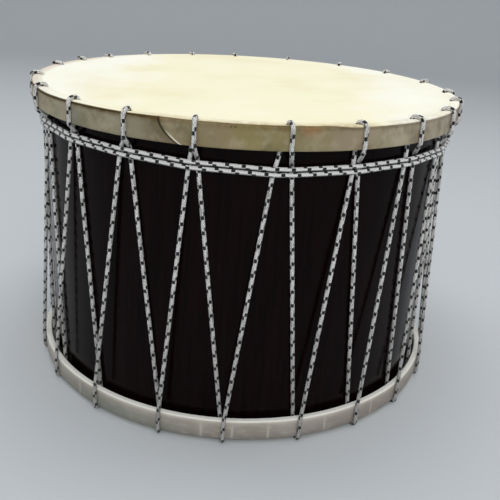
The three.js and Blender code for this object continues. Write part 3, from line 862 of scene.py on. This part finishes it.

# %% [markdown]
# Face and rim meet on the rounded edge. Where it catches the light, a painted highlight keeps it pale and
# bright; elsewhere the grime of the rim reaches up to the face, and at the front a brown stain fades within
# 18 mm. The change from face to rim follows radius less height, a number that grows from the face round the
# edge and down the rim. Where the edge has the painted highlight, the change comes up to 3.2 mm further down.

# %% Where the face meets the rim
spilt = add(hide, "MapRange", {0: radius, 1: 0.182, 2: 0.2}, **SOFT)
face = tinted(hide, face, "#A88D5C", spilt, uneven, spilt_here)
EDGE_HIGHLIGHT_REACH = 0.0032
EDGE = edge / 1000 - TOP
round_edge = add(hide, "Math", {0: radius, 1: height}, operation="SUBTRACT")
# The painted highlight moves the change from face to rim further down the edge.
round_edge = add(hide, "Math", {0: painted_edge_highlight, 1: -EDGE_HIGHLIGHT_REACH, 2: round_edge}, operation="MULTIPLY_ADD")
# The grime ends in a thin dark line, where fingertips stop.
tide_line = mark(hide, round_edge, EDGE + 0.0008, 0.0019)
rim = tinted(hide, rim, "#44351A", tide_line, held_here)
on_rim = add(hide, "MapRange", {0: round_edge, 1: EDGE - 0.0013, 2: EDGE - 0.0001}, **SOFT)
hide_colour = tinted(hide, face, rim, on_rim)
# The worn patch fades out 11.5 mm in from the outside and 3 mm down the rim.
outer_band = add(hide, "MapRange", {0: radius, 1: 0.1885, 2: 0.1965}, **SOFT)
upper_band = add(hide, "MapRange", {0: height, 1: TOP - 0.003, 2: TOP}, **SOFT)
hide_colour = tinted(hide, hide_colour, "#B39680", outer_band, upper_band, worn_back)
print("with the edge:", len(hide.node_tree.nodes), "nodes")

# %% Surface of the playing head
polish = add(hide, "MapRange", {0: clouds, 1: 0.3, 2: 0.7, 3: 0.6, 4: 0.74})
# Real pores are finer than a picture can show, so these are drawn coarser, 1.4 mm apart.
pores = add(hide, "TexNoise", {"Vector": place, "Scale": 700, "Detail": 3})
wrinkles = add(hide, "Bump", {"Height": clouds, "Distance": 0.002, "Strength": 0.25})
skin_bump = add(hide, "Bump", {"Height": pores, "Distance": 0.0001, "Strength": 0.4, "Normal": wrinkles})
join(hide, shader, {"Base Color": hide_colour, "Roughness": polish, "Normal": skin_bump})
wear(playing_head, hide, "top_skin")

# %% [markdown]
# The resonant head is the same hide, greyer and less grimed. Its upper lip, which faces up to the light, gets
# a painted highlight. Below it the rim darkens evenly towards the floor as painted shade, with fine stretch
# marks along it and a few pale streaks down it, where it was pulled round the hoop wet.

# %% Rawhide of the resonant head
LOW, LIP = bottom_face / 1000, (bottom_face + rim_height) / 1000
grey, shader = finish_called("grey_rawhide", RAWHIDE)
place, turn, height, radius = head_places(grey)
level = add(grey, "MapRange", {0: height, 1: LOW, 2: LIP})
# Painted shade: the rim darkens towards the floor, and lightens towards the lip.
low_rim = add(grey, "ValToRGB", {0: level}, stops=[
    (0.0, "#7B756E"), (0.25, "#958E85"), (0.6, "#A8A196"), (0.74, "#AEA69A"), (0.84, "#C3BAAE"),
    (0.94, "#DAD2C4"), (1.0, "#E8E2D6"),
])
clouds = add(grey, "TexNoise", {"Vector": place, "Scale": 18, "Detail": 5, "Roughness": 0.6})
stretched = add(grey, "CombineXYZ", {0: turn, 1: height})
stretched = add(grey, "Mapping", {"Vector": stretched, "Scale": (110, 260, 1)})
stretched = add(grey, "TexNoise", {"Vector": stretched, "Scale": 1, "Detail": 3})
low_rim = patched(grey, low_rim, [
    (clouds, 0.45, 0.65, 0.35, "#8C8272"), (clouds, 0.5, 0.3, 0.4, "#B7B0A3"),
    (stretched, 0.5, 0.7, 0.3, "#CBC4B6"),
])
low_rim = spots(grey, low_rim, turn, height, [
    (238, 28, 9, 13, 0.5, "#738174"), (312, 30, 11, 16, 0.4, "#8C7D77"), (232.1, 1.6, 13, 7, 0.4, "#94764F"),
    *[(angle, 0.55, 11, 14, 0.45, "#DAD4C8") for angle in (226.5, 263.3, 270.9, 279.7, 294.6, 309.8)],
])
print("the lower rim takes", len(grey.node_tree.nodes), "nodes")

# %% Lip and face of the resonant head
# The lip's painted highlight, whitest at its inner edge.
lip = add(grey, "MapRange", {0: height, 1: LIP - 0.0016, 2: LIP - 0.0004}, **SOFT)
inward = add(grey, "MapRange", {0: radius, 1: edge / 1000, 2: rim_inner / 1000 + 0.0008})
painted_lip_highlight = tinted(grey, "#F3F0E6", "#FFFEF6", inward)
low_rim = tinted(grey, low_rim, painted_lip_highlight, lip)
face = add(grey, "ValToRGB", {0: clouds}, stops=[
    (0.3, "#DDD5BE"), (0.5, "#E6DFCA"), (0.72, "#ECE7D6"),
])
off_face = add(grey, "MapRange", {0: height, 1: LOW + 0.0003, 2: LOW + 0.001}, **SOFT)
hide_colour = tinted(grey, face, low_rim, off_face)
polish = add(grey, "MapRange", {0: clouds, 1: 0.3, 2: 0.7, 3: 0.4, 4: 0.56})
pores = add(grey, "TexNoise", {"Vector": place, "Scale": 700, "Detail": 3})
low_bump = add(grey, "Bump", {"Height": pores, "Distance": 0.0001, "Strength": 0.4})
join(grey, shader, {"Base Color": hide_colour, "Roughness": polish, "Normal": low_bump})
wear(resonant_head, grey, "bottom_skin")

# %% [markdown]
# The rope is braided polyester: bright yarns with a grey valley of painted shade at every crossing, and a
# black tracer that winds round it once in 12 mm and dips under another yarn four times on the way, which
# leaves short black dashes. The yarns follow the mesh's counting, so crests and the painted shade of the
# valleys sit where the relief is.

# %% Yarns of the braided polyester
braid, shader = finish_called("braided_polyester", {"IOR": 1.45, "Roughness": 0.72, "Sheen Weight": 0.15})
spot = add(braid, "UVMap", {}, uv_map="yarns")
counts = add(braid, "SeparateXYZ", {0: spot}).node
round_rope, along_rope = counts.outputs[0], counts.outputs[1]
yarns = []
for count, crossings in ((round_rope, ROPE_SIDES), (along_rope, RINGS_A_PITCH)):
    wave = add(braid, "Math", {0: count, 1: crossings * math.pi}, operation="MULTIPLY")
    yarns.append(add(braid, "Math", {0: wave}, operation="COSINE"))
crossing = add(braid, "Math", {0: yarns[0], 1: yarns[1]}, operation="MULTIPLY")
# Painted shade: the valleys at the crossings are drawn grey.
yarn = add(braid, "MapRange", {0: crossing, 1: -1.0, 2: 0.7})
yarn = add(braid, "ValToRGB", {0: yarn}, stops=[(0.0, "#A9A6A0"), (0.4, "#E9E7E2"), (0.8, "#FDFCFA")])
print("crossings in one turn of the tracer:", ROPE_SIDES * RINGS_A_PITCH)

# %% [markdown]
# Then the wear, and some painted light and shade. Loose filaments make streaks about 1 mm wide and 5 mm long.
# They come from noise on a cylinder, made with the sine and cosine of the turn round the rope, so that no seam
# shows. The lowest 150 mm grey towards the floor, partly with dust that the rope picks up there and partly as
# painted shade. The belt is painted lighter than the strands, as painted light: it gets less streaking and
# dirt and a whiter wash, and its underside gets painted shade.

# %% Streaks, dust, dirt, and painted light and shade on the rope
circle = []
for turned in ("COSINE", "SINE"):
    wave = add(braid, "Math", {0: round_rope, 1: 2 * math.pi}, operation="MULTIPLY")
    circle.append(add(braid, "Math", {0: wave}, operation=turned))
streaks = add(braid, "CombineXYZ", {0: circle[0], 1: circle[1], 2: along_rope})
streaks = add(braid, "TexNoise", {"Vector": streaks, "Scale": 1.9, "Detail": 2, "Roughness": 0.6})
place = add(braid, "TexCoord", {}, "Object")
dirt = add(braid, "TexNoise", {"Vector": place, "Scale": 30, "Detail": 3})
level = add(braid, "SeparateXYZ", {0: place}, 2)
near_belt = mark(braid, level, np.mean(belt_heights) / 1000, 0.02)
# Near the belt the streaks and dirt fade, as part of the belt's painted light.
off_belt = add(braid, "MapRange", {0: near_belt, 1: 0.3, 2: 0.8, 3: 1.0, 4: 0.15})
for pattern, low, high, strength, code in (
    (streaks, 0.5, 0.62, 0.7, "#827D78"), (dirt, 0.45, 0.7, 0.35, "#A6A49B"),
):
    share = add(braid, "MapRange", {0: pattern, 1: low, 2: high, 4: strength})
    yarn = tinted(braid, yarn, code, share, off_belt)
# The lowest 150 mm grey: partly dust, partly painted shade.
yarn = patched(braid, yarn, [(level, 0.15, 0.0, 0.5, "#4F4B46")])
# Painted light: the belt is washed whiter.
painted_belt_light = add(braid, "MapRange", {0: off_belt, 1: 1.0, 2: 0.15, 4: 0.7})
yarn = tinted(braid, yarn, "#FFFEFB", painted_belt_light)
# Painted shade on the belt's underside, where its normal faces down.
facing = add(braid, "NewGeometry", {}, "Normal")
facing_up = add(braid, "SeparateXYZ", {0: facing}, 2)
painted_underside_shade = add(braid, "MapRange", {0: facing_up, 1: -0.1, 2: -0.65, 4: 1.2})
yarn = tinted(braid, yarn, "#4F4B46", painted_underside_shade, painted_belt_light)
print("the worn braid takes", len(braid.node_tree.nodes), "nodes")

# %% The tracer yarn
quarters = add(braid, "Math", {0: along_rope, 1: 0.25}, operation="SNAP")
helix = add(braid, "Math", {0: quarters, 1: -1.03, 2: round_rope}, operation="MULTIPLY_ADD")
helix = add(braid, "Math", {0: helix}, operation="FRACT")
dashes = add(braid, "Math", {0: along_rope, 1: 4.0}, operation="MULTIPLY")
dashes = add(braid, "Math", {0: dashes}, operation="FRACT")
# A dash is about 3 mm wide on a rope 11 mm round, and 3 mm long, since four share 12.2 mm.
width, length = mark(braid, helix, 0.5, 0.2), mark(braid, dashes, 0.5, 0.76)
tracer = add(braid, "Math", {0: width, 1: length}, operation="MINIMUM")
tracer = add(braid, "MapRange", {0: tracer, 1: 0.2, 2: 0.28})
yarn = tinted(braid, yarn, "#0A0A0B", tracer)
filaments = add(braid, "TexWave", {"Vector": spot, "Scale": 30, "Distortion": 1.5},
                bands_direction="DIAGONAL")
braid_height = add(braid, "Math", {0: crossing, 1: filaments}, operation="ADD")
braid_bump = add(braid, "Bump", {"Height": braid_height, "Distance": 0.0003, "Strength": 0.5})
join(braid, shader, {"Base Color": yarn, "Normal": braid_bump})
wear(lacing, braid, "lacing_rope")
wear(belt, braid, "belt_rope")

# %% [markdown]
# The drum stands in a plain pale bowl: a floor that turns up into a low wall all round, so that every view
# has the same quiet background and no horizon line.

# %% Floor
FLAT, BEND, WALL_TOP = 2.4, 0.9, 1.6
FLOOR_STEPS = 96
bend_turns = np.linspace(0.1, math.pi / 2, 12)
floor_section = [(FLAT * share, 0) for share in (0, 0.2, 0.4, 0.7, 1)]
floor_section += [(FLAT + BEND * math.sin(t), BEND - BEND * math.cos(t)) for t in bend_turns]
floor_section += [(FLAT + BEND, WALL_TOP)]
floor_points = []
for step in range(FLOOR_STEPS):
    turn = 2 * math.pi * step / FLOOR_STEPS
    floor_points += [(r * math.cos(turn), r * math.sin(turn), z) for r, z in floor_section]
across = len(floor_section)
floor_faces = faces_between(FLOOR_STEPS, across, FLOOR_STEPS, across - 1)
floor = smoothed(piece_of("pale_floor", floor_points, floor_faces), 60)
paper, shader = finish_called("pale_studio_paper", {"Base Color": "#C9CDD0", "Roughness": 0.9})
floor.data.materials.append(paper)
print("the floor is", 2 * (FLAT + BEND), "m across")

# %% [markdown]
# Soft studio light: a big panel over the drum gives the bright face and the shaded sides, one in front lifts
# the rim and the ropes, and the world fills the shadows. The lacquer mirrors two low panels at the sides.

# %% Lights
AIM = Vector((0, 0, 0.15))  # about half way up the drum


def panel(name, place, size, watts):
    """A round soft light that looks at the drum."""
    light = bpy.data.lights.new(name, "AREA")
    light.shape, light.size, light.energy = "DISK", size, watts
    lamp = in_scene(name, light)
    lamp.location = place
    lamp.rotation_euler = (AIM - Vector(place)).to_track_quat("-Z", "Y").to_euler()
    lamp.visible_camera = False
    print(name, watts, "W")


panel("key_panel", (0.05, 0.15, 2.0), 1.5, 14.5)
panel("front_panel", (0.24, -2.4, 1.9), 2.0, 30)
panel("left_panel", (-1.9, 0.9, 0.9), 1.3, 6)
panel("right_panel", (1.9, 0.6, 0.9), 0.9, 4)
world = bpy.data.worlds.new("studio")
scene.world = world
world.use_nodes = True
sky = world.node_tree.nodes["Background"].inputs
sky["Color"].default_value, sky["Strength"].default_value = (0.95, 0.97, 1.0, 1.0), 0.42
scene.view_settings.view_transform = "Standard"

# %% [markdown]
# The camera stands a little above the drum and close to it. Its distance, aim and lens were worked out from
# how the two hoops foreshorten.

# %% Camera
CAMERA_DISTANCE = 0.7278
CAMERA_ELEVATION = math.radians(19.16)
AIM_ACROSS, AIM_UP, CAMERA_ROLL = -0.0170, -0.0530, math.radians(-3.17)
back = Vector((0, -math.cos(CAMERA_ELEVATION), math.sin(CAMERA_ELEVATION)))
stand = back * CAMERA_DISTANCE + Vector((0, 0, middle / 1000))
right = Vector((1, 0, 0))
up = back.cross(right)
across_turn = Matrix.Rotation(AIM_ACROSS, 3, up)
back, right = across_turn @ back, across_turn @ right
tilt_turn = Matrix.Rotation(AIM_UP, 3, right)
back, up = tilt_turn @ back, tilt_turn @ up
roll_turn = Matrix.Rotation(CAMERA_ROLL, 3, -back)
right, up = roll_turn @ right, roll_turn @ up
lens = bpy.data.cameras.new("camera")
lens.lens, lens.sensor_width, lens.clip_start = 50.23, 36, 0.05
camera = in_scene("camera", lens)
camera.matrix_world = Matrix.Translation(stand) @ Matrix((right, up, back)).transposed().to_4x4()
bpy.context.scene.camera = camera
print("camera at", [round(c, 3) for c in camera.matrix_world.translation])
